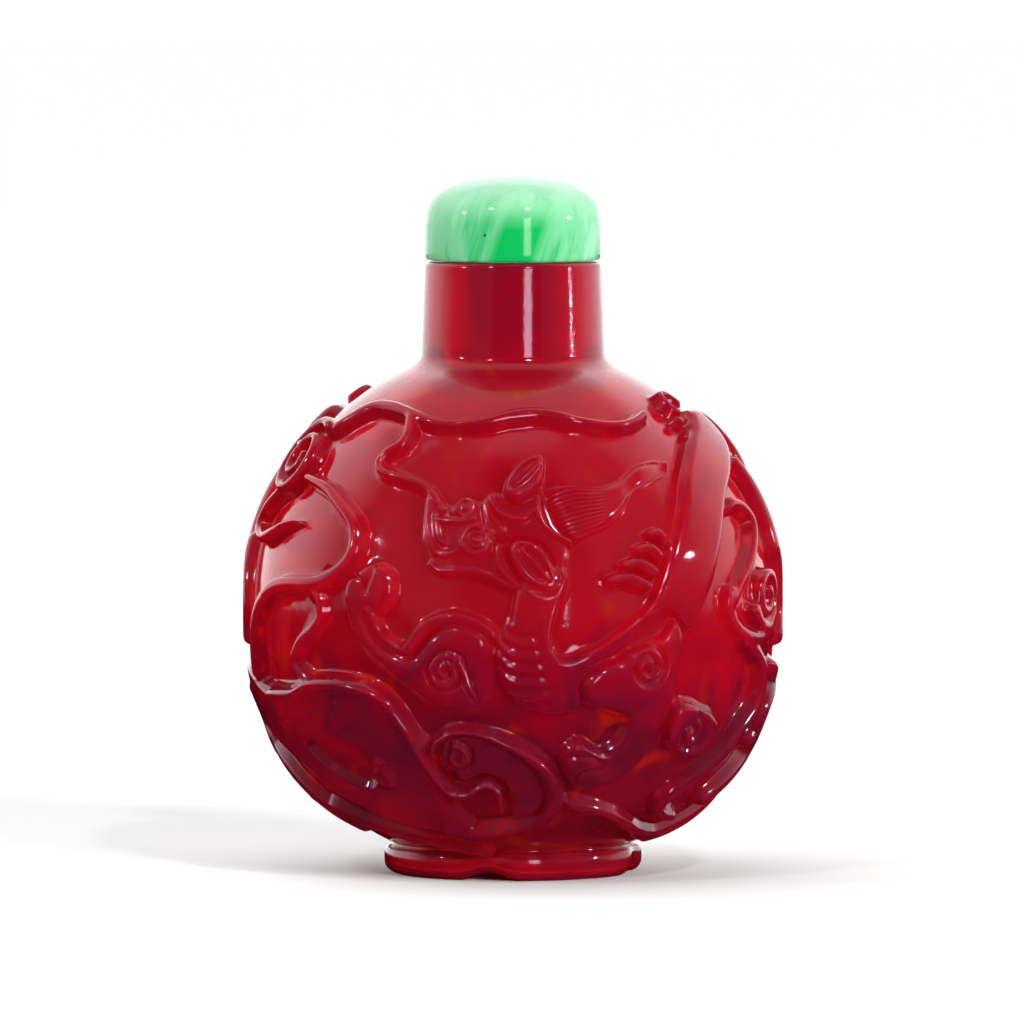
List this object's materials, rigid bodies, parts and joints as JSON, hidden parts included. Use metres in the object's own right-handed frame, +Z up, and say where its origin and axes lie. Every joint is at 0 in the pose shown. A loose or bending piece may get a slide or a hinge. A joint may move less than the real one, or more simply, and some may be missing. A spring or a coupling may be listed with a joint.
{
  "type": "snuff bottle",
  "caption": "Small round hollow glass bottle with a straight neck, lobed foot and all-over dragon and cloud relief, closed by a domed stopper on a cork plug.",
  "frame": {"origin": "middle of the foot, on the surface that the bottle stands on", "axes": "+Z up through the neck and stopper, -Y towards the front face with the dragon's head, +X to the right seen from the front"},
  "size_m": [0.049, 0.0488, 0.0628],
  "materials": {
    "ruby_glass": "polished translucent ruby red glass, carved and polished",
    "green_glass": "polished cloudy green glass with slanting darker streaks",
    "cork": "plain natural cork"
  },
  "bodies": {
    "root": {"bottle": "ruby_glass", "stopper": "green_glass", "stopper_cork": "cork"}
  },
  "joints": []
}
